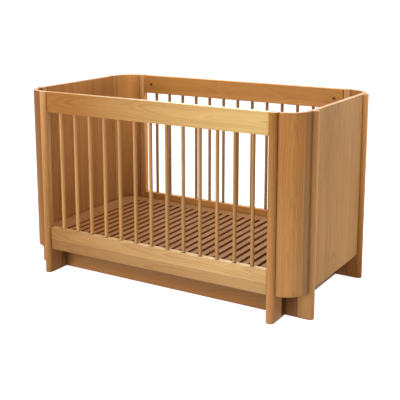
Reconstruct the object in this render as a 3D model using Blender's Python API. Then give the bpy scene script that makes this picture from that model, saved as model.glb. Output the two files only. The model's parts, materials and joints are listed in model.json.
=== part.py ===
"""Baby crib: a hash-shaped plinth, eight rounded posts, four quarter-round corner panels,
two end panels, two spindle sides and a slotted mattress base that is set higher or lower.

Metres, +Z up. The origin is on the floor at the middle of the crib, +X runs along its length
and -Y is the front.
"""

import math

import bmesh
import bpy

# Driving dimensions
HEIGHT = 0.840
GAP = 0.0003  # between pieces that touch

POST_THICKNESS = 0.035
POST_DEPTH = 0.040
POST_INNER_ROUND = 0.008
LONG_SIDE_FOOT_DEPTH = 0.088
END_FOOT_DEPTH = 0.066
FOOT_HEIGHT = 0.100
FOOT_INNER_ROUND = 0.004
FRONT_POST_X = 0.550  # inner face of a front or back post
SIDE_POST_Y = 0.255  # inner face of a side post

CORNER_RADIUS = 0.098  # outer face of a corner panel
CORNER_THICKNESS = 0.018
CORNER_SETBACK = 0.020  # from the posts' rounded noses
PANEL_BOTTOM = 0.112
END_THICKNESS = 0.020
END_SETBACK = 0.018

RAIL_THICKNESS = 0.025
RAIL_SETBACK = 0.015
TOP_RAIL_HEIGHT = 0.092
BOTTOM_RAIL_TOP = 0.215

SPINDLE_COUNT = 13
SPINDLE_PITCH = 0.080
SPINDLE_RADIUS = 0.008
SPINDLE_SEAT = 0.015  # how far a spindle goes into a rail

CAM_RADIUS = 0.0075
CAM_LENGTH = 0.013
CAM_RECESS = 0.001
CAM_GAP = 0.0005
CAM_FROM_RAIL_END = 0.044
CAM_SLOT = 0.002

BASE_TOP = 0.182
BASE_THICKNESS = 0.018
BASE_CLEARANCE = 0.005
BASE_CORNER_RADIUS = 0.078
SLOT_COUNT = 27
SLOT_PITCH = 0.0418
SLOT_WIDTH = 0.017
SLOT_LENGTH = 0.604

BATTEN_LENGTH = 1.120
BATTEN_WIDTH = 0.035
BATTEN_HEIGHT = 0.038
BATTEN_Y = 0.325

BRACKET_WIDTH = 0.028
BRACKET_THICKNESS = 0.003
BRACKET_LEG = 0.033
BRACKET_ABOVE_BASE = 0.030
BOLT_HEAD_RADIUS = 0.006
BOLT_HEAD_LENGTH = 0.005
BOLT_ABOVE_BASE = 0.014

ROUND_SEGMENTS = 10
CORNER_SEGMENTS = 16
SPINDLE_SIDES = 16
CAM_SIDES = 20

# Worked out from them
POST_OUTER_X = FRONT_POST_X + POST_THICKNESS
POST_OUTER_Y = SIDE_POST_Y + POST_THICKNESS
NOSE_X = POST_OUTER_X + CORNER_RADIUS + CORNER_SETBACK
NOSE_Y = POST_OUTER_Y + CORNER_RADIUS + CORNER_SETBACK
RAIL_Y = NOSE_Y - RAIL_SETBACK - RAIL_THICKNESS / 2
RAIL_HALF_LENGTH = FRONT_POST_X - GAP
INSIDE_X = NOSE_X - POST_DEPTH
INSIDE_Y = NOSE_Y - POST_DEPTH
TOP_RAIL_BOTTOM = HEIGHT - TOP_RAIL_HEIGHT
BASE_HALF_X = INSIDE_X - BASE_CLEARANCE
BASE_HALF_Y = INSIDE_Y - BASE_CLEARANCE
BASE_BOTTOM = BASE_TOP - BASE_THICKNESS

# (name, sign of X, sign of Y)
CORNERS = (("front_left", -1, -1), ("front_right", 1, -1), ("back_left", -1, 1), ("back_right", 1, 1))


def clear_scene():
    for obj in list(bpy.data.objects):
        bpy.data.objects.remove(obj, do_unlink=True)


def material(name, color, roughness, metallic=0.0):
    """A Principled BSDF of one colour."""
    made = bpy.data.materials.new(name)
    made.use_nodes = True
    shader = made.node_tree.nodes["Principled BSDF"]
    shader.inputs["Base Color"].default_value = (*color, 1.0)
    shader.inputs["Roughness"].default_value = roughness
    shader.inputs["Metallic"].default_value = metallic
    return made


def add_object(name, mesh_builder, finish):
    """A new object whose bmesh is outward facing, with its material."""
    bmesh.ops.recalc_face_normals(mesh_builder, faces=mesh_builder.faces)
    mesh = bpy.data.meshes.new(name)
    mesh_builder.to_mesh(mesh)
    mesh_builder.free()
    mesh.materials.append(finish)
    obj = bpy.data.objects.new(name, mesh)
    bpy.context.collection.objects.link(obj)
    return obj


def arc(centre, radius, start_deg, end_deg, segments):
    """Points along an arc, both ends included."""
    points = []
    for step in range(segments + 1):
        angle = math.radians(start_deg + (end_deg - start_deg) * step / segments)
        points.append((centre[0] + radius * math.cos(angle), centre[1] + radius * math.sin(angle)))
    return points


def add_ring(mesh_builder, outline, z):
    return [mesh_builder.verts.new((x, y, z)) for x, y in outline]


def add_walls(mesh_builder, lower, upper, closed=True):
    count = len(lower)
    for i in range(count if closed else count - 1):
        j = (i + 1) % count
        mesh_builder.faces.new((lower[i], lower[j], upper[j], upper[i]))


def prism(outline, bottom, top):
    """A bmesh of a flat outline raised from bottom to top."""
    mesh_builder = bmesh.new()
    lower = add_ring(mesh_builder, outline, bottom)
    upper = add_ring(mesh_builder, outline, top)
    mesh_builder.faces.new(lower)
    mesh_builder.faces.new(upper)
    add_walls(mesh_builder, lower, upper)
    return mesh_builder


def box(low, high):
    outline = ((low[0], low[1]), (high[0], low[1]), (high[0], high[1]), (low[0], high[1]))
    return prism(outline, low[2], high[2])


def cylinder(radius, length, sides, direction, start):
    """A bmesh cylinder from start along direction, one of "X", "Y" and "Z"."""
    mesh_builder = bmesh.new()
    rings = []
    for along in (0.0, length):
        ring = []
        for side in range(sides):
            angle = 2 * math.pi * (side + 0.5) / sides
            u, v = radius * math.cos(angle), radius * math.sin(angle)
            offset = {"X": (along, u, v), "Y": (u, along, v), "Z": (u, v, along)}[direction]
            ring.append(mesh_builder.verts.new([a + b for a, b in zip(start, offset)]))
        rings.append(ring)
    mesh_builder.faces.new(rings[0])
    mesh_builder.faces.new(rings[1])
    add_walls(mesh_builder, rings[0], rings[1])
    return mesh_builder


def cutter(name, mesh_builder, finish):
    obj = add_object(name, mesh_builder, finish)
    obj.hide_render = True
    obj.display_type = "WIRE"
    return obj


def join_meshes(mesh_builders):
    """One bmesh that holds several, which don't touch each other."""
    joined = bmesh.new()
    for mesh_builder in mesh_builders:
        part = bpy.data.meshes.new("part")
        bmesh.ops.recalc_face_normals(mesh_builder, faces=mesh_builder.faces)
        mesh_builder.to_mesh(part)
        mesh_builder.free()
        joined.from_mesh(part)
        bpy.data.meshes.remove(part)
    return joined


def boolean(obj, other, operation):
    modifier = obj.modifiers.new(operation.lower(), "BOOLEAN")
    modifier.operation = operation
    modifier.object = other
    modifier.solver = "EXACT"


def set_smooth(obj, angle_deg=35):
    obj.data.shade_smooth()
    obj.data.set_sharp_from_angle(angle=math.radians(angle_deg))


def post_outlines(foot_depth):
    """(shared, foot end, upper end) of a post seen from above: u runs across it, v inwards from its nose.

    The shared run goes round the full-round nose; the two ends close it at foot depth and at post depth.
    """
    half = POST_THICKNESS / 2
    shoulder = POST_DEPTH - POST_INNER_ROUND
    nose = arc((0, half), half, 180, 360, ROUND_SEGMENTS)
    shared = [(-half, shoulder)] + nose + [(half, shoulder)]

    def inner_end(depth, radius):
        right = arc((half - radius, depth - radius), radius, 0, 90, 4)
        left = arc((radius - half, depth - radius), radius, 90, 180, 4)
        return right + left

    foot = inner_end(foot_depth, FOOT_INNER_ROUND)
    upper = inner_end(POST_DEPTH, POST_INNER_ROUND)[1:-1]
    return shared, foot, upper


def add_post(name, foot_depth, place, finish):
    """A post whose foot reaches further in than its upper length. place turns (u, v) into (x, y)."""
    shared, foot, upper = post_outlines(foot_depth)
    mesh_builder = bmesh.new()
    floor_ring = add_ring(mesh_builder, [place(p) for p in shared + foot], 0.0)
    shared_step = add_ring(mesh_builder, [place(p) for p in shared], FOOT_HEIGHT)
    foot_step = add_ring(mesh_builder, [place(p) for p in foot], FOOT_HEIGHT)
    upper_step = add_ring(mesh_builder, [place(p) for p in upper], FOOT_HEIGHT)
    top_ring = add_ring(mesh_builder, [place(p) for p in shared + upper], HEIGHT)
    mesh_builder.faces.new(floor_ring)
    mesh_builder.faces.new(top_ring)
    add_walls(mesh_builder, floor_ring, shared_step + foot_step)
    add_walls(mesh_builder, shared_step + upper_step, top_ring)
    step_ring = [shared_step[-1]] + foot_step + [shared_step[0]] + upper_step[::-1]
    mesh_builder.faces.new(step_ring)
    obj = add_object(name, mesh_builder, finish)
    set_smooth(obj)


def add_posts(finish):
    for corner, sx, sy in CORNERS:
        middle_x = sx * (FRONT_POST_X + POST_THICKNESS / 2)
        middle_y = sy * (SIDE_POST_Y + POST_THICKNESS / 2)
        add_post(
            f"long_side_post_{corner}",
            LONG_SIDE_FOOT_DEPTH,
            lambda p: (middle_x + p[0], sy * (NOSE_Y - p[1])),
            finish,
        )
        add_post(
            f"end_post_{corner}", END_FOOT_DEPTH, lambda p: (sx * (NOSE_X - p[1]), middle_y + p[0]), finish
        )


def add_corner_panels(finish):
    """Quarter rings between the two posts of each corner."""
    for corner, sx, sy in CORNERS:
        outline = []
        for radius, reverse in ((CORNER_RADIUS, False), (CORNER_RADIUS - CORNER_THICKNESS, True)):
            inset = math.degrees(GAP / radius)
            points = arc((0, 0), radius, inset, 90 - inset, CORNER_SEGMENTS)
            outline += points[::-1] if reverse else points
        placed = [(sx * (POST_OUTER_X + x), sy * (POST_OUTER_Y + y)) for x, y in outline]
        obj = add_object(f"corner_panel_{corner}", prism(placed, PANEL_BOTTOM, HEIGHT), finish)
        set_smooth(obj)


def add_end_panels(finish):
    for side, sx in (("left", -1), ("right", 1)):
        outer = NOSE_X - END_SETBACK
        xs = sorted((sx * outer, sx * (outer - END_THICKNESS)))
        half = SIDE_POST_Y - GAP
        add_object(f"end_panel_{side}", box((xs[0], -half, PANEL_BOTTOM), (xs[1], half, HEIGHT)), finish)


def add_base_boards(finish):
    """Two long and two short boards on edge, half-lapped where they cross."""
    middle = FOOT_HEIGHT / 2
    long_half = NOSE_X - END_FOOT_DEPTH - GAP
    short_half = NOSE_Y - LONG_SIDE_FOOT_DEPTH - GAP
    for side, sy in (("front", -1), ("back", 1)):
        ys = sorted((sy * SIDE_POST_Y, sy * POST_OUTER_Y))
        board = add_object(
            f"base_board_{side}", box((-long_half, ys[0], 0), (long_half, ys[1], FOOT_HEIGHT)), finish
        )
        laps = [
            box(
                (min(sx * FRONT_POST_X, sx * POST_OUTER_X) - GAP, ys[0] - 0.01, middle),
                (max(sx * FRONT_POST_X, sx * POST_OUTER_X) + GAP, ys[1] + 0.01, FOOT_HEIGHT + 0.01),
            )
            for sx in (-1, 1)
        ]
        boolean(board, cutter(f"lap_cutter_{side}", join_meshes(laps), finish), "DIFFERENCE")
    for side, sx in (("left", -1), ("right", 1)):
        xs = sorted((sx * FRONT_POST_X, sx * POST_OUTER_X))
        board = add_object(
            f"base_board_{side}", box((xs[0], -short_half, 0), (xs[1], short_half, FOOT_HEIGHT)), finish
        )
        laps = [
            box(
                (xs[0] - 0.01, min(sy * SIDE_POST_Y, sy * POST_OUTER_Y) - GAP, -0.01),
                (xs[1] + 0.01, max(sy * SIDE_POST_Y, sy * POST_OUTER_Y) + GAP, middle + GAP),
            )
            for sy in (-1, 1)
        ]
        boolean(board, cutter(f"lap_cutter_{side}", join_meshes(laps), finish), "DIFFERENCE")


def spindle_xs():
    first = -SPINDLE_PITCH * (SPINDLE_COUNT - 1) / 2
    return [first + SPINDLE_PITCH * i for i in range(SPINDLE_COUNT)]


def cam_xs():
    place = FRONT_POST_X - CAM_FROM_RAIL_END
    return (("left", -place), ("right", place))


def add_rails(finish):
    """A deep top and bottom rail on each long side, with blind holes for the spindles and cam locks."""
    hole_radius = (SPINDLE_RADIUS + GAP) / math.cos(math.pi / SPINDLE_SIDES)
    cam_hole_radius = (CAM_RADIUS + CAM_GAP) / math.cos(math.pi / CAM_SIDES)
    cam_hole_depth = CAM_RECESS + CAM_LENGTH + GAP
    middle_of_top = HEIGHT - TOP_RAIL_HEIGHT / 2
    margin = 0.01
    for side, sy in (("front", -1), ("back", 1)):
        ys = sorted((sy * (RAIL_Y - RAIL_THICKNESS / 2), sy * (RAIL_Y + RAIL_THICKNESS / 2)))
        inner = sy * (RAIL_Y - RAIL_THICKNESS / 2)
        for level, low, high, hole_low in (
            ("top", TOP_RAIL_BOTTOM, HEIGHT, TOP_RAIL_BOTTOM - margin),
            ("bottom", PANEL_BOTTOM, BOTTOM_RAIL_TOP, BOTTOM_RAIL_TOP - SPINDLE_SEAT),
        ):
            rail = add_object(
                f"{level}_rail_{side}",
                box((-RAIL_HALF_LENGTH, ys[0], low), (RAIL_HALF_LENGTH, ys[1], high)),
                finish,
            )
            holes = [
                cylinder(hole_radius, SPINDLE_SEAT + margin, SPINDLE_SIDES, "Z", (x, sy * RAIL_Y, hole_low))
                for x in spindle_xs()
            ]
            if level == "top":
                start = inner - margin if sy > 0 else inner - cam_hole_depth
                holes += [
                    cylinder(cam_hole_radius, cam_hole_depth + margin, CAM_SIDES, "Y", (x, start, middle_of_top))
                    for _, x in cam_xs()
                ]
            boolean(rail, cutter(f"hole_cutter_{level}_{side}", join_meshes(holes), finish), "DIFFERENCE")


def add_spindles(finish):
    low = BOTTOM_RAIL_TOP - SPINDLE_SEAT + GAP
    length = TOP_RAIL_BOTTOM + SPINDLE_SEAT - GAP - low
    for side, sy in (("front", -1), ("back", 1)):
        for number, x in enumerate(spindle_xs(), 1):
            shape = cylinder(SPINDLE_RADIUS, length, SPINDLE_SIDES, "Z", (x, sy * RAIL_Y, low))
            set_smooth(add_object(f"spindle_{side}_{number:02d}", shape, finish))


def add_cam_locks(finish):
    """Slotted cam locks in the inner face of each top rail, which draw the rail against its posts."""
    z = HEIGHT - TOP_RAIL_HEIGHT / 2
    for side, sy in (("front", -1), ("back", 1)):
        face = sy * (RAIL_Y - RAIL_THICKNESS / 2 + CAM_RECESS)
        start = face if sy > 0 else face - CAM_LENGTH
        for end, x in cam_xs():
            lock = add_object(
                f"cam_lock_{side}_{end}", cylinder(CAM_RADIUS, CAM_LENGTH, CAM_SIDES, "Y", (x, start, z)), finish
            )
            slot = box(
                (x - 2 * CAM_RADIUS, face - CAM_SLOT, z - CAM_SLOT / 2),
                (x + 2 * CAM_RADIUS, face + CAM_SLOT, z + CAM_SLOT / 2),
            )
            boolean(lock, cutter(f"slot_cutter_{side}_{end}", slot, finish), "DIFFERENCE")
            set_smooth(lock)


def add_mattress_base(finish):
    """A board with rounded corners and a row of slots across it."""
    outline = []
    for sx, sy, start in ((1, 1, 0), (-1, 1, 90), (-1, -1, 180), (1, -1, 270)):
        centre = (sx * (BASE_HALF_X - BASE_CORNER_RADIUS), sy * (BASE_HALF_Y - BASE_CORNER_RADIUS))
        outline += arc(centre, BASE_CORNER_RADIUS, start, start + 90, 8)
    base = add_object("mattress_base", prism(outline, BASE_BOTTOM, BASE_TOP), finish)
    slots = []
    for number in range(SLOT_COUNT):
        x = SLOT_PITCH * (number - (SLOT_COUNT - 1) / 2)
        slots.append(
            box(
                (x - SLOT_WIDTH / 2, -SLOT_LENGTH / 2, BASE_BOTTOM - 0.01),
                (x + SLOT_WIDTH / 2, SLOT_LENGTH / 2, BASE_TOP + 0.01),
            )
        )
    boolean(base, cutter("slot_cutters", join_meshes(slots), finish), "DIFFERENCE")


def add_battens(finish):
    for side, sy in (("front", -1), ("back", 1)):
        y = sy * BATTEN_Y
        top = BASE_BOTTOM - GAP
        add_object(
            f"base_batten_{side}",
            box(
                (-BATTEN_LENGTH / 2, y - BATTEN_WIDTH / 2, top - BATTEN_HEIGHT),
                (BATTEN_LENGTH / 2, y + BATTEN_WIDTH / 2, top),
            ),
            finish,
        )


def add_brackets(finish):
    """An angle bracket under each corner of the base, its upright leg and bolt head on the corner panel."""
    inner_radius = CORNER_RADIUS - CORNER_THICKNESS
    half = BRACKET_WIDTH / 2
    sagitta = inner_radius - math.sqrt(inner_radius**2 - half**2)
    outer = inner_radius - sagitta - 2 * GAP
    under = BASE_BOTTOM - GAP
    profile = (
        (outer, under - BRACKET_THICKNESS),
        (outer, BASE_TOP + BRACKET_ABOVE_BASE),
        (outer - BRACKET_THICKNESS, BASE_TOP + BRACKET_ABOVE_BASE),
        (outer - BRACKET_THICKNESS, under),
        (outer - BRACKET_LEG, under),
        (outer - BRACKET_LEG, under - BRACKET_THICKNESS),
    )
    for corner, sx, sy in CORNERS:
        radial = (sx * math.sqrt(0.5), sy * math.sqrt(0.5))
        tangent = (-radial[1], radial[0])

        def place(u, v, z):
            x = sx * POST_OUTER_X + u * radial[0] + v * tangent[0]
            y = sy * POST_OUTER_Y + u * radial[1] + v * tangent[1]
            return (x, y, z)

        mesh_builder = bmesh.new()
        rings = [[mesh_builder.verts.new(place(u, v, z)) for u, z in profile] for v in (-half, half)]
        mesh_builder.faces.new(rings[0])
        mesh_builder.faces.new(rings[1])
        add_walls(mesh_builder, rings[0], rings[1])
        bracket = add_object(f"base_bracket_{corner}", mesh_builder, finish)

        head = bmesh.new()
        z = BASE_TOP + BOLT_ABOVE_BASE
        near = outer - BRACKET_THICKNESS / 2
        head_rings = []
        for u in (near, near - BRACKET_THICKNESS / 2 - BOLT_HEAD_LENGTH):
            circle = arc((0, z), BOLT_HEAD_RADIUS, 0, 360, 12)[:-1]
            head_rings.append([head.verts.new(place(u, v, h)) for v, h in circle])
        head.faces.new(head_rings[0])
        head.faces.new(head_rings[1])
        add_walls(head, head_rings[0], head_rings[1])
        boolean(bracket, cutter(f"bolt_head_{corner}", head, finish), "UNION")
        set_smooth(bracket)


def main():
    clear_scene()
    rail_wood = material("rail_wood", (0.60, 0.36, 0.15), 0.45)
    post_wood = material("post_wood", (0.56, 0.33, 0.14), 0.45)
    panel_veneer = material("panel_veneer", (0.50, 0.30, 0.14), 0.45)
    spindle_wood = material("spindle_wood", (0.56, 0.34, 0.14), 0.45)
    plinth_wood = material("plinth_wood", (0.40, 0.22, 0.10), 0.55)
    base_wood = material("base_wood", (0.48, 0.29, 0.17), 0.55)
    steel = material("steel", (0.32, 0.27, 0.22), 0.4, 1.0)
    add_base_boards(plinth_wood)
    add_posts(post_wood)
    add_corner_panels(panel_veneer)
    add_end_panels(panel_veneer)
    add_rails(rail_wood)
    add_spindles(spindle_wood)
    add_cam_locks(steel)
    add_mattress_base(base_wood)
    add_battens(base_wood)
    add_brackets(steel)


main()
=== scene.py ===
"""Looks of the baby crib: rounded wooden pieces with grain, steel fittings, floor, lights and camera.

Metres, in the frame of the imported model: +Z up, +X along the crib, -Y the front. Each CAD node has one visible
piece, which is its own solid with eased edges. Only the spindles are made anew, as turned rods.
"""

import json
import math

import bmesh
import bpy
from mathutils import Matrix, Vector

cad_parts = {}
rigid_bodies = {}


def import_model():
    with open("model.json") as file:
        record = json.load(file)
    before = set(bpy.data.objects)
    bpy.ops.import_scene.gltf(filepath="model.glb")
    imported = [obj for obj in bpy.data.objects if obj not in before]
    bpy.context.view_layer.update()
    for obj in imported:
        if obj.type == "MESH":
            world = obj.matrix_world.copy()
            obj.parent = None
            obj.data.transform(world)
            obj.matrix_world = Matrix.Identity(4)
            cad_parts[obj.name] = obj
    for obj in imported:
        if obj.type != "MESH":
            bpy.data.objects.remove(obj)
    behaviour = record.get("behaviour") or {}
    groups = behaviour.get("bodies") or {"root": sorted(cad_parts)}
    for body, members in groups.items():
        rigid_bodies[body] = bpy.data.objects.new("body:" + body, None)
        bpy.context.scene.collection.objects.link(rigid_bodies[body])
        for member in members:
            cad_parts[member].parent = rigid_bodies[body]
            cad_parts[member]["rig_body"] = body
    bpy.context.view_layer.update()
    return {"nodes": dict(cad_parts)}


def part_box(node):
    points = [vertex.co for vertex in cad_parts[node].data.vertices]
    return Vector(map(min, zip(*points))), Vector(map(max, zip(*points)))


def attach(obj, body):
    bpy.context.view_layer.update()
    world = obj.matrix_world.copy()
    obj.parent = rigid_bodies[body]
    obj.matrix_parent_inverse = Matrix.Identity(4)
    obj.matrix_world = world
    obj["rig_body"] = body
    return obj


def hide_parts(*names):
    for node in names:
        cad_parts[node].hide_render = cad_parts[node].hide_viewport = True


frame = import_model()
nodes = frame["nodes"]
scene = bpy.context.scene

CORNERS = ("front_left", "front_right", "back_left", "back_right")
SPINDLES_A_SIDE = 13
GOLDEN_SHARE = 0.6180339887

# Red, green and blue factors on the wood's colour, at the top of a piece and at its foot: partly the piece's own
# tone and partly painted light and shade, lighter or darker by how light falls on each piece. The first entry
# that a node's name starts with counts.
PIECE_TONE_AND_PAINTED_LIGHT = {
    "corner_panel_front_left": ((0.56, 0.48, 0.30), (0.70, 0.62, 0.38)),
    "corner_panel_back_left": ((1.34, 1.36, 1.30), (0.78, 0.68, 0.70)),
    "corner_panel_front_right": ((1.05, 1.06, 1.04), (1.08, 1.20, 1.42)),
    "end_post_front_right": ((1.36, 1.38, 1.60), (1.22, 1.36, 1.68)),
    "end_post_back_right": ((2.15, 2.30, 2.50), (0.80, 0.62, 0.38)),
    "end_post": ((1.15, 1.15, 1.15), (1.15, 1.15, 1.15)),
    "end_panel_left": ((1.04, 1.08, 1.12), (0.98, 0.96, 0.98)),
    "long_side_post_front_right": ((0.93, 0.83, 0.54), (1.30, 1.36, 1.60)),
    "long_side_post_front_left": ((1.45, 1.55, 1.85), (0.88, 0.86, 0.82)),
    "long_side_post_back_left": ((1.90, 2.05, 2.30), (1.05, 0.95, 0.85)),
    "long_side_post_back_right": ((1.90, 2.05, 2.70), (1.90, 2.05, 2.70)),
    "base_board_right": ((0.52, 0.42, 0.32), (0.52, 0.42, 0.32)),
    "base_board": ((0.60, 0.60, 0.64), (1.46, 1.34, 0.98)),
}

# How far the edges are rounded.
RAIL_EDGE = 0.0022
POST_EDGE = 0.0018
PANEL_EDGE = 0.0018
BOARD_EDGE = 0.0015
BASE_EDGE = 0.0030
BRACKET_EDGE = 0.0004
LOCK_EDGE = 0.0002
# Edges shorter than this stay sharp: the rims of the holes in the rails, the bolt heads and the lock slots.
RAIL_RIM = 0.012
BRACKET_RIM = 0.0012
LOCK_RIM = 0.0009

CORNER_RADIUS = 0.098
corner_low, corner_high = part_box("corner_panel_front_right")
CORNER_CENTRE = (corner_high.x - CORNER_RADIUS, -corner_low.y - CORNER_RADIUS)


# ---------------------------------------------------------------- shader nodes


class Nodes:
    """Short ways to add nodes to a node tree."""

    def __init__(self, tree):
        self.tree = tree

    def add(self, kind, sources=(), **settings):
        """A node of this kind. sources holds (input, number or socket) pairs."""
        made = self.tree.nodes.new(kind)
        for key, value in settings.items():
            setattr(made, key, value)
        for key, value in sources:
            self.feed(made.inputs[key], value)
        return made

    def feed(self, socket, value):
        if isinstance(value, bpy.types.NodeSocket):
            self.tree.links.new(value, socket)
        else:
            socket.default_value = value

    def calc(self, operation, *values):
        return self.add("ShaderNodeMath", enumerate(values), operation=operation).outputs[0]

    def plus(self, first, second):
        return self.calc("ADD", first, second)

    def minus(self, first, second):
        return self.calc("SUBTRACT", first, second)

    def times(self, first, second):
        return self.calc("MULTIPLY", first, second)

    def sway(self, value, noise, size):
        """value, moved up and down by a noise whose middle is a half."""
        return self.calc("MULTIPLY_ADD", self.minus(noise, 0.5), size, value)

    def length(self, x, y):
        return self.calc("SQRT", self.plus(self.times(x, x), self.times(y, y)))

    def vector(self, operation, first, second):
        return self.add("ShaderNodeVectorMath", enumerate((first, second)), operation=operation).outputs[0]

    def dot(self, first, second):
        made = self.add("ShaderNodeVectorMath", enumerate((first, second)), operation="DOT_PRODUCT")
        return made.outputs["Value"]

    def scaled(self, vector, level):
        return self.add("ShaderNodeVectorMath", [(0, vector), ("Scale", level)], operation="SCALE").outputs[0]

    def join(self, x, y, z):
        return self.add("ShaderNodeCombineXYZ", enumerate((x, y, z))).outputs[0]

    def split(self, vector):
        return self.add("ShaderNodeSeparateXYZ", [(0, vector)]).outputs

    def span(self, value, low, high, to_low=0.0, to_high=1.0, smooth=True):
        """value from low..high to to_low..to_high, clamped."""
        sources = enumerate((value, low, high, to_low, to_high))
        kind = "SMOOTHSTEP" if smooth else "LINEAR"
        return self.add("ShaderNodeMapRange", sources, interpolation_type=kind).outputs[0]

    def noise(self, vector, scale=1.0, detail=2.0, roughness=0.5, output="Fac"):
        sources = [("Vector", vector), ("Scale", scale), ("Detail", detail), ("Roughness", roughness)]
        return self.add("ShaderNodeTexNoise", sources).outputs[output]

    def mix(self, share, first, second):
        # Inputs 6 and 7 and output 2 are this node's colours.
        return self.add("ShaderNodeMix", zip((0, 6, 7), (share, first, second)), data_type="RGBA").outputs[2]

    def tint(self, share, colour, factors):
        """The colour, multiplied by the factors where share is 1."""
        return self.mix(share, colour, self.vector("MULTIPLY", colour, factors))


class Shader(Nodes):
    """A new material with a Principled BSDF."""

    def __init__(self, name):
        self.material = bpy.data.materials.new(name)
        self.material.use_nodes = True
        super().__init__(self.material.node_tree)
        self.shader = self.tree.nodes["Principled BSDF"]

    def set(self, name, value):
        """Gives an input of the Principled BSDF a number, colour or socket."""
        self.feed(self.shader.inputs[name], value)

    def own(self, name, output="Fac"):
        """A number or vector that each object carries as its own property."""
        return self.add("ShaderNodeAttribute", attribute_type="OBJECT", attribute_name=name).outputs[output]

    def spot(self):
        """Where a point is in the whole object."""
        return self.add("ShaderNodeTexCoord").outputs["Object"]

    def place(self):
        """x, y and z from the middle of the piece."""
        return self.split(self.vector("SUBTRACT", self.spot(), self.own("middle", "Vector")))

    def rise(self):
        """0 at the foot of the piece to 1 at its top."""
        return self.span(self.split(self.spot())[2], self.own("foot"), self.own("top"), smooth=False)

    def normal(self):
        return self.add("ShaderNodeNewGeometry").outputs["Normal"]

    def painted_crease_shade(self, reach):
        """Near 1 in tight corners and joints, 0 in the open: where painted shade goes."""
        seen = self.add("ShaderNodeAmbientOcclusion", [("Distance", reach)], samples=6).outputs["AO"]
        return self.span(seen, 0.25, 0.72, 1.0, 0.0)

    def worn_edges(self, reach, low, high):
        """Near 1 along edges, from how far a softened normal leans from the true one."""
        soft = self.add("ShaderNodeBevel", [("Radius", reach)], samples=4).outputs[0]
        return self.span(self.dot(soft, self.normal()), 1 - low, 1 - high)

    def bump(self, strength, distance, height):
        made = self.add("ShaderNodeBump", [("Strength", strength), ("Distance", distance), ("Height", height)])
        self.set("Normal", made.outputs[0])


# ---------------------------------------------------------------- camera, floor and light


def look_at(obj, target):
    obj.rotation_euler = (Vector(target) - obj.location).to_track_quat("-Z", "Y").to_euler()


def add_camera():
    data = bpy.data.cameras.new("camera")
    data.sensor_width = 36.0
    data.lens = 73.37
    data.shift_y = -0.15
    data.clip_end = 200.0
    camera = bpy.data.objects.new("camera", data)
    camera.location = (1.885, -3.120, 1.322)
    looking_down, turned = 11.03, 30.99
    camera.rotation_euler = (math.radians(90 - looking_down), 0, math.radians(turned))
    scene.collection.objects.link(camera)
    scene.camera = camera


def add_area_light(name, place, target, size, power, colour):
    data = bpy.data.lights.new(name, "AREA")
    data.shape = "RECTANGLE"
    data.size, data.size_y = size
    data.energy = power
    data.color = colour
    light = bpy.data.objects.new(name, data)
    light.location = place
    look_at(light, target)
    scene.collection.objects.link(light)


def add_lights():
    add_area_light("key_softbox", (-1.5, -3.9, 0.75), (0.1, -0.3, 0.42), (1.5, 1.4), 122, (1.0, 0.98, 0.95))
    add_area_light("side_softbox", (3.0, 3.2, 1.1), (0.6, 0.0, 0.45), (0.6, 0.9), 100, (1.0, 0.93, 0.80))
    add_area_light("top_softbox", (0.0, 0.0, 3.4), (0.0, 0.0, 0.0), (1.6, 1.0), 190, (1.0, 1.0, 1.0))


def add_world():
    """A white room: brightest up to a little above the horizon, and above that, brighter towards the top."""
    world = bpy.data.worlds.new("studio")
    world.use_nodes = True
    s = Nodes(world.node_tree)
    way = s.add("ShaderNodeTexCoord").outputs["Generated"]
    horizon = s.span(s.split(way)[2], 0.30, 0.50, 1.06, 0.0)
    brightest = (0.1, -0.25, 0.96)
    overhead = s.span(s.dot(way, brightest), -0.3, 0.9, 0.25, 0.95)
    background = s.tree.nodes["Background"]
    s.feed(background.inputs["Color"], (1, 1, 1, 1))
    s.feed(background.inputs["Strength"], s.calc("MAXIMUM", horizon, overhead))
    scene.world = world


def add_floor():
    """A wide round floor, which glows a little so that it stays white."""
    made = bmesh.new()
    bmesh.ops.create_circle(made, cap_ends=True, segments=96, radius=120.0)
    mesh = bpy.data.meshes.new("studio_floor")
    made.to_mesh(mesh)
    made.free()
    floor = bpy.data.objects.new("studio_floor", mesh)
    # A hair below the feet, so that no faces coincide.
    floor.location.z = -0.0005
    scene.collection.objects.link(floor)
    paint = Shader("studio_floor")
    paint.set("Base Color", (0.32, 0.32, 0.32, 1))
    paint.set("Roughness", 0.9)
    paint.set("Emission Color", (1, 1, 1, 1))
    paint.set("Emission Strength", 0.92)
    mesh.materials.append(paint.material)


# ---------------------------------------------------------------- which way the grain runs


def along_x(s):
    x, y, z = s.place()
    return z, y, x


def along_y(s):
    x, y, z = s.place()
    return z, x, y


def along_z(s):
    x, y, z = s.place()
    return x, y, z


def flat_along_y(s):
    x, y, z = s.place()
    return x, z, y


def end_face(s):
    x, y, z = s.place()
    return y, s.times(x, 0.05), z


def round_corner(s):
    """Unrolls the quarter-round panels: the way round, the depth below the face, and the height."""
    x, y, _ = s.split(s.spot())
    u = s.minus(s.calc("ABSOLUTE", x), CORNER_CENTRE[0])
    v = s.minus(s.calc("ABSOLUTE", y), CORNER_CENTRE[1])
    angle = s.calc("ARCTAN2", u, v)
    way_round = s.times(s.minus(angle, math.pi / 4), CORNER_RADIUS)
    return way_round, s.minus(s.length(u, v), CORNER_RADIUS), s.place()[2]


# ---------------------------------------------------------------- materials


def linear(*srgb):
    """An sRGB colour, 0 to 255, as the linear colour that shaders take."""

    def one(value):
        value /= 255
        return value / 12.92 if value <= 0.04045 else ((value + 0.055) / 1.055) ** 2.4

    return (*map(one, srgb), 1.0)


def shaded(colour, *factors):
    """The colour times the factors, with no channel above 1."""
    return (*(min(channel * factor, 1.0) for channel, factor in zip(colour, factors)), 1.0)


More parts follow.
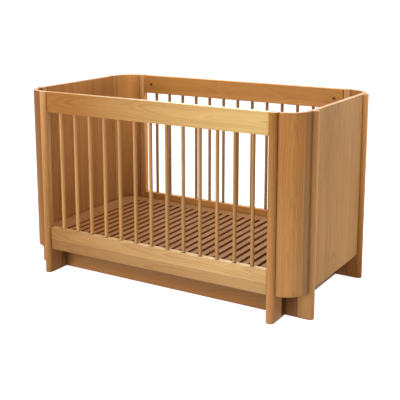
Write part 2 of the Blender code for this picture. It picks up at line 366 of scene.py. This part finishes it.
def wood(
    name,
    mean,
    frame_of,
    heart=(0.03, 0.05),
    tilt=(0.01, 0.05),
    leaf=None,
    contrast=0.6,
    streaks=0.9,
    flecks=(320.0, 17.0, 0.38),
    gloss=0.3,
    wear=0.5,
    painted_light_along_x=None,
    glue_line_and_painted_shadow=None,
    painted_top_light=(1.3, 1.8, 3.9),
    painted_flank_shade=None,
):
    """Satin-lacquered wood, grown round a heart line beside the piece.

    mean: its colour, linear
    frame_of: frame_of(shader) gives (across, deep, along) in metres, from the piece's middle
    heart: the heart line's distance from the middle, across and deep
    tilt: the heart line's slope along the grain, which draws the pointed arches of a flat-sawn face
    leaf: the width of the glued boards or veneer leaves, and the place of a joint
    contrast, streaks: how strong the year rings and the streaks are
    flecks: how many dark flecks fit in a metre, across and along, and how strong they are
    gloss, wear: how strong the lacquer's shine and the pale worn edges are
    painted_light_along_x: a range of x, and the factors on the colour at its end, which paint light and sheen
    that grow along x
    glue_line_and_painted_shadow: a place across, the factors on the colour past it, and how strong the line
    along it is: a glue joint on the rails, and a painted shadow strip on the nearest corner panel
    painted_top_light, painted_flank_shade: the factors on faces that look up, which paint light and sheen on
    them, and on those that don't, which paint shade on them
    """
    ring = 0.007
    s = Shader(name)
    light = shaded(mean, 1.14, 1.18, 1.26)
    dark = shaded(mean, 0.80, 0.72, 0.60)
    across, deep, along = frame_of(s)
    across_piece = across
    seed = s.own("grain_seed")
    if leaf:
        width, joint = leaf
        number = s.calc("FLOOR", s.calc("DIVIDE", s.plus(across, joint), width))
        across = s.minus(s.plus(across, joint - width / 2), s.times(number, width))
        seed = s.calc("FRACT", s.calc("MULTIPLY_ADD", number, 0.377, seed))
    # Each piece comes from another stretch of one long trunk.
    far = s.times(seed, 61.7)
    along_trunk = s.plus(along, far)

    def cells(wide, long, detail=2.0, roughness=0.5, output="Fac"):
        """Noise with this many cells a metre across the grain and along it."""
        at = s.join(s.times(across, wide), s.times(deep, wide), s.times(along_trunk, long))
        return s.noise(at, 1.0, detail, roughness, output)

    # Year rings: how many of them lie between a point and the wandering heart line.
    drift = s.split(cells(7.0, 2.2, 1.0, output="Color"))
    side = s.calc("MULTIPLY_ADD", s.minus(seed, 0.5), 2 * heart[0], across)
    side = s.calc("MULTIPLY_ADD", along, tilt[0], side)
    side = s.sway(side, drift[0], 0.05)
    back = s.plus(deep, heart[1])
    back = s.calc("MULTIPLY_ADD", along, tilt[1], back)
    back = s.sway(back, drift[1], 0.05)
    years = s.calc("DIVIDE", s.length(side, back), ring)
    years = s.calc("MULTIPLY_ADD", cells(28.0, 5.0), 1.5, years)
    year = s.calc("FRACT", years)
    late = s.times(s.span(year, 0.10, 0.84), s.span(year, 0.88, 1.0, 1.0, 0.0))
    strong = s.noise(s.join(s.times(years, 0.43), far, 0.0), detail=1.0)
    late = s.times(late, s.span(strong, 0.36, 0.62, 0.15, 1.0))

    fibre = cells(700.0, 14.0)
    streak = cells(90.0, 1.6, 3.0, 0.6)
    band = cells(24.0, 0.8)
    cloud = cells(9.0, 2.5, 1.0)
    pore = s.times(s.span(cells(1500.0, 90.0, 1.0), 0.60, 0.70), s.span(late, 0.1, 0.9, 0.25, 1.0))
    fleck = s.times(s.span(cells(flecks[0], flecks[1], 1.0), 0.62, 0.74), flecks[2])

    darkness = s.times(late, contrast)
    for grain, strength in ((streak, streaks), (band, streaks), (fibre, 0.25), (cloud, 0.8)):
        darkness = s.sway(darkness, grain, strength)
    colour = s.mix(s.span(darkness, -0.35, 1.05, smooth=False), light, dark)
    colour = s.mix(s.calc("MAXIMUM", s.times(pore, 0.4), fleck), colour, shaded(dark, 0.5, 0.5, 0.5))
    shade = s.calc("FRACT", s.times(seed, 7.31))
    colour = s.scaled(colour, s.span(shade, 0.0, 1.0, 0.96, 1.04, smooth=False))

    # The piece's tone and painted light and shade, mixed from its foot to its top, which the faces that look up
    # don't take.
    up = s.split(s.normal())[2]
    tone_and_painted_light = s.mix(s.rise(), s.own("foot_tone_and_painted_light", "Vector"), s.own("top_tone_and_painted_light", "Vector"))
    colour = s.vector("MULTIPLY", colour, s.mix(s.span(up, 0.6, 0.95), tone_and_painted_light, (1.0, 1.0, 1.0, 1.0)))
    # Painted light: the colour grows paler towards higher x, for the lamps' sheen on the rails and stronger
    # light on the slats.
    if painted_light_along_x:
        (low, high), factors = painted_light_along_x
        colour = s.tint(s.span(s.split(s.spot())[0], low, high, smooth=False), colour, factors)
    # A glue line on the rails; on the nearest corner panel, a painted shadow strip with a dark line along its
    # edge.
    if glue_line_and_painted_shadow:
        place, factors, strength = glue_line_and_painted_shadow
        colour = s.tint(s.span(across_piece, place - 0.0002, place + 0.0002), colour, factors)
        gap = s.calc("ABSOLUTE", s.minus(across_piece, place))
        colour = s.mix(s.span(gap, 0.0002, 0.0011, strength, 0.0), colour, shaded(dark, 0.35, 0.35, 0.35))
    # Painted light and sheen on faces that look up.
    if painted_top_light:
        colour = s.tint(s.span(up, 0.6, 0.95), colour, painted_top_light)
    # Painted shade on faces that don't look up, such as the walls of the slots.
    if painted_flank_shade:
        colour = s.tint(s.span(up, 0.80, 0.99, 1.0, 0.0), colour, painted_flank_shade)
    # Painted shade: dark red-brown in corners and joints, where little light reaches.
    colour = s.tint(s.painted_crease_shade(0.018), colour, (0.44, 0.22, 0.12))
    worn = s.times(s.worn_edges(0.0035, 0.01, 0.16), s.span(cloud, 0.3, 0.65, 0.45, 1.0))
    s.set("Base Color", s.mix(s.times(worn, wear), colour, s.scaled(light[:3], 1.25)))

    rough = s.calc("MULTIPLY_ADD", pore, 0.18, 0.46)
    rough = s.sway(rough, streak, 0.12)
    s.set("Roughness", s.calc("MULTIPLY_ADD", worn, -0.06, rough))
    s.set("Specular IOR Level", gloss)
    s.set("Specular Tint", (1.0, 0.80, 0.58, 1.0))
    height = s.calc("MULTIPLY_ADD", pore, -0.6, s.times(fibre, 0.25))
    s.bump(0.22, 0.0004, s.calc("MULTIPLY_ADD", late, 0.25, height))
    return s.material


def bronzed_steel(name, dark, light, bare):
    """Brown steel, with painted shade in its creases and bare metal along its edges."""
    s = Shader(name)
    place = s.spot()
    blotch = s.noise(place, 260.0, 3.0)
    brushed = s.noise(s.vector("MULTIPLY", place, (2400.0, 2400.0, 300.0)))
    worn = s.worn_edges(0.0008, 0.02, 0.25)
    colour = s.mix(blotch, dark, light)
    colour = s.mix(s.times(worn, 0.5), colour, bare)
    # Painted shade in the creases.
    s.set("Base Color", s.mix(s.painted_crease_shade(0.004), colour, linear(36, 18, 9)))
    s.set("Metallic", 0.5)
    s.set("Specular IOR Level", 0.15)
    s.set("Specular Tint", (1.0, 0.70, 0.45, 1.0))
    s.set("Roughness", s.span(blotch, 0.3, 0.7, 0.45, 0.6))
    s.bump(0.15, 0.0002, brushed)
    return s.material


# ---------------------------------------------------------------- pieces


def solid_mesh(node):
    """A bmesh of a CAD node with its triangles joined back into whole faces."""
    source = nodes[node].data
    made = bmesh.new()
    points = [made.verts.new(vertex.co) for vertex in source.vertices]
    for face in source.polygons:
        made.faces.new([points[i] for i in face.vertices])
    bmesh.ops.remove_doubles(made, verts=made.verts, dist=2e-5)
    bmesh.ops.recalc_face_normals(made, faces=made.faces)
    bmesh.ops.dissolve_limit(
        made,
        angle_limit=math.radians(0.6),
        verts=made.verts,
        edges=made.edges,
        use_dissolve_boundaries=False,
    )
    return made


def ease(made, radius, segments, rim):
    """Rounds the sharp edges, but for those shorter than rim."""
    edges = []
    for edge in made.edges:
        sharp = len(edge.link_faces) == 2 and edge.calc_face_angle() >= math.radians(40)
        if sharp and edge.calc_length() >= rim:
            edges.append(edge)
    bmesh.ops.bevel(
        made,
        geom=edges,
        offset=radius,
        offset_type="OFFSET",
        segments=segments,
        profile=0.5,
        affect="EDGES",
        clamp_overlap=True,
    )


def golden(index, start):
    """Seeds between 0 and 1 that stay far apart, however many there are."""
    return (start + index * GOLDEN_SHARE) % 1.0


def finish_piece(made, node, material, seed, tone_and_painted_light=1.0):
    """Turns a bmesh into the piece that stands for a CAD node."""
    name = f"{node}_wood"
    mesh = bpy.data.meshes.new(name)
    made.to_mesh(mesh)
    made.free()
    mesh.shade_smooth()
    mesh.set_sharp_from_angle(angle=math.radians(38))
    mesh.materials.append(material)
    piece = bpy.data.objects.new(name, mesh)
    scene.collection.objects.link(piece)
    weighted = piece.modifiers.new("even_faces", "WEIGHTED_NORMAL")
    weighted.keep_sharp = True
    low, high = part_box(node)
    piece["grain_seed"] = seed
    piece["middle"] = tuple((low + high) / 2)
    piece["foot"], piece["top"] = low.z, high.z
    # The piece's tone and its painted light and shade, from the table or from the given factor.
    tone_and_painted_light_pair = next((pair for start, pair in PIECE_TONE_AND_PAINTED_LIGHT.items() if node.startswith(start)), ((tone_and_painted_light,) * 3, (tone_and_painted_light,) * 3))
    piece["top_tone_and_painted_light"], piece["foot_tone_and_painted_light"] = tone_and_painted_light_pair
    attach(piece, nodes[node]["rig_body"])
    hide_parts(node)


def eased_pieces(names, material, radius, start, rim=0.0, segments=3):
    for index, node in enumerate(names):
        made = solid_mesh(node)
        ease(made, radius, segments, rim)
        finish_piece(made, node, material, golden(index, start))


def spindle(node, material, seed, tone_and_painted_light):
    """A turned rod, with its ends a little tapered where they enter the rails."""
    low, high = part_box(node)
    x, y = (low.x + high.x) / 2, (low.y + high.y) / 2
    radius = (high.x - low.x) / 2
    tip, tip_share, seat = 0.004, 0.93, 0.015
    steps, sides = 12, 28
    profile = [(low.z, tip_share), (low.z + tip, 1.0)]
    for step in range(steps + 1):
        profile.append((low.z + seat + (high.z - low.z - 2 * seat) * step / steps, 1.0))
    profile += [(high.z - tip, 1.0), (high.z, tip_share)]
    made = bmesh.new()
    rings = []
    for z, share in profile:
        out = radius * share
        ring = []
        for side in range(sides):
            angle = 2 * math.pi * side / sides
            ring.append(made.verts.new((x + out * math.cos(angle), y + out * math.sin(angle), z)))
        rings.append(ring)
    made.faces.new(rings[0][::-1])
    made.faces.new(rings[-1])
    for lower, upper in zip(rings, rings[1:]):
        for i in range(sides):
            j = (i + 1) % sides
            made.faces.new((lower[i], lower[j], upper[j], upper[i]))
    finish_piece(made, node, material, seed, tone_and_painted_light)


# ---------------------------------------------------------------- the crib


def add_rails():
    top_front = wood(
        "rail_wood",
        (0.195, 0.077, 0.0135),
        along_x,
        heart=(0.015, 0.045),
        tilt=(0.01, -0.05),
        gloss=0.15,
        painted_light_along_x=((-0.40, 0.45), (1.88, 3.05, 6.2)),
    )
    low_front = wood(
        "low_rail_wood",
        (0.155, 0.066, 0.016),
        along_x,
        heart=(0.015, 0.045),
        tilt=(0.01, -0.05),
        leaf=(0.0577, 0.0639),
        gloss=0.2,
        painted_light_along_x=((-0.55, 0.35), (1.76, 2.35, 3.6)),
        glue_line_and_painted_shadow=(-0.0062, (1.25, 1.35, 1.5), 0.65),
        painted_top_light=(1.1, 1.3, 1.7),
    )
    # Paler than the front rails: painted light on the back rails, whose inner faces lie in shade.
    back = wood(
        "back_rail_wood",
        (0.34, 0.148, 0.034),
        along_x,
        heart=(0.015, 0.045),
        gloss=0.2,
        glue_line_and_painted_shadow=(-0.021, (0.88, 0.86, 0.84), 0.3),
        painted_top_light=(1.1, 1.35, 2.6),
    )
    eased_pieces(["top_rail_front"], top_front, RAIL_EDGE, 0.13, RAIL_RIM)
    eased_pieces(["bottom_rail_front"], low_front, RAIL_EDGE, 0.71, RAIL_RIM)
    eased_pieces(["top_rail_back", "bottom_rail_back"], back, RAIL_EDGE, 0.748, RAIL_RIM)


def add_posts():
    posts = wood(
        "post_wood",
        (0.222, 0.100, 0.030),
        along_z,
        heart=(0.08, 0.10),
        tilt=(0.004, 0.01),
        gloss=0.12,
        wear=0.2,
    )
    eased_pieces([f"long_side_post_{corner}" for corner in CORNERS], posts, POST_EDGE, 0.31)
    eased_pieces([f"end_post_{corner}" for corner in CORNERS], posts, POST_EDGE, 0.87)


def add_panels():
    """The corner panel that is nearest in the main view has a painted shadow of the end post on its veneer: a
    darker strip next to the post, with a thin dark line along its edge.
    """

    def corner_veneer(name, glue_line_and_painted_shadow=None):
        mean = (0.255, 0.109, 0.030)
        return wood(name, mean, round_corner, contrast=0.45, streaks=1.2, gloss=0.12, glue_line_and_painted_shadow=glue_line_and_painted_shadow)

    def end_veneer(name, mean, streaks):
        return wood(
            name,
            mean,
            end_face,
            heart=(0.06, 0.12),
            tilt=(0.004, 0.02),
            leaf=(0.128, 0.256),
            contrast=0.45,
            streaks=streaks,
            flecks=(130.0, 8.0, 0.42),
            gloss=0.04,
        )

    far = ["corner_panel_front_left", "corner_panel_back_left", "corner_panel_back_right"]
    far_veneer = corner_veneer("corner_veneer")
    # Past 0.036 m round, a painted shadow of the end post.
    near_veneer = corner_veneer("near_corner_veneer", (0.036, (0.66, 0.68, 0.74), 0.2))
    left_veneer = end_veneer("left_end_veneer", (0.215, 0.086, 0.0235), 1.7)
    right_veneer = end_veneer("right_end_veneer", (0.238, 0.117, 0.035), 1.0)
    eased_pieces(far, far_veneer, PANEL_EDGE, 0.05)
    eased_pieces(["corner_panel_front_right"], near_veneer, PANEL_EDGE, 0.668)
    eased_pieces(["end_panel_left"], left_veneer, PANEL_EDGE, 0.43)
    eased_pieces(["end_panel_right"], right_veneer, PANEL_EDGE, 0.05)


def add_plinth():
    # Darker than the rails: painted shade under the bottom rails.
    mean = (0.125, 0.052, 0.014)
    long_boards = wood("plinth_wood", mean, along_x)
    short_boards = wood("plinth_short_wood", mean, along_y)
    eased_pieces(["base_board_front", "base_board_back"], long_boards, BOARD_EDGE, 0.22)
    eased_pieces(["base_board_left", "base_board_right"], short_boards, BOARD_EDGE, 0.56)


def add_mattress_base():
    """Each slat is a glued leaf of its own, the walls of the slots get painted shade, and painted light makes
    the slats paler towards +x.
    """
    slats = wood(
        "base_wood",
        (0.122, 0.053, 0.0175),
        flat_along_y,
        heart=(0.01, 0.05),
        tilt=(0.004, 0.02),
        leaf=(0.0418, 0.627),
        gloss=0.1,
        painted_light_along_x=((-0.55, 0.35), (1.34, 1.56, 1.95)),
        painted_top_light=None,
        painted_flank_shade=(1.0, 0.48, 0.07),
    )
    battens = wood("batten_wood", (0.22, 0.105, 0.04), along_x)
    eased_pieces(["mattress_base"], slats, BASE_EDGE, 0.37)
    eased_pieces(["base_batten_front", "base_batten_back"], battens, BOARD_EDGE, 0.61)


def add_fittings():
    brackets = bronzed_steel("bracket_steel", linear(124, 78, 44), linear(160, 108, 66), linear(196, 150, 104))
    locks = bronzed_steel("lock_steel", linear(76, 40, 22), linear(112, 64, 38), linear(190, 130, 100))
    bracket_names = [f"base_bracket_{corner}" for corner in CORNERS]
    lock_names = [f"cam_lock_{corner}" for corner in CORNERS]
    eased_pieces(bracket_names, brackets, BRACKET_EDGE, 0.5, BRACKET_RIM, segments=2)
    eased_pieces(lock_names, locks, LOCK_EDGE, 0.5, LOCK_RIM, segments=2)


def add_spindles():
    """The front ones get a little darker from left to right, and the back ones are all darker still: painted
    shade.
    """
    turned = wood("spindle_wood", (0.275, 0.136, 0.042), along_z, tilt=(0.004, 0.01))
    for row, side in enumerate(("front", "back")):
        for index in range(SPINDLES_A_SIDE):
            # Painted shade: darker to the right in front, and darker still at the back.
            tone_and_painted_light = 1.10 - 0.02 * index if side == "front" else 0.78
            seed = golden(row * SPINDLES_A_SIDE + index, 0.09)
            spindle(f"spindle_{side}_{index + 1:02d}", turned, seed, tone_and_painted_light)


add_camera()
add_world()
add_lights()
add_floor()

add_rails()
add_posts()
add_panels()
add_plinth()
add_mattress_base()
add_fittings()
add_spindles()

scene.view_settings.view_transform = "Standard"
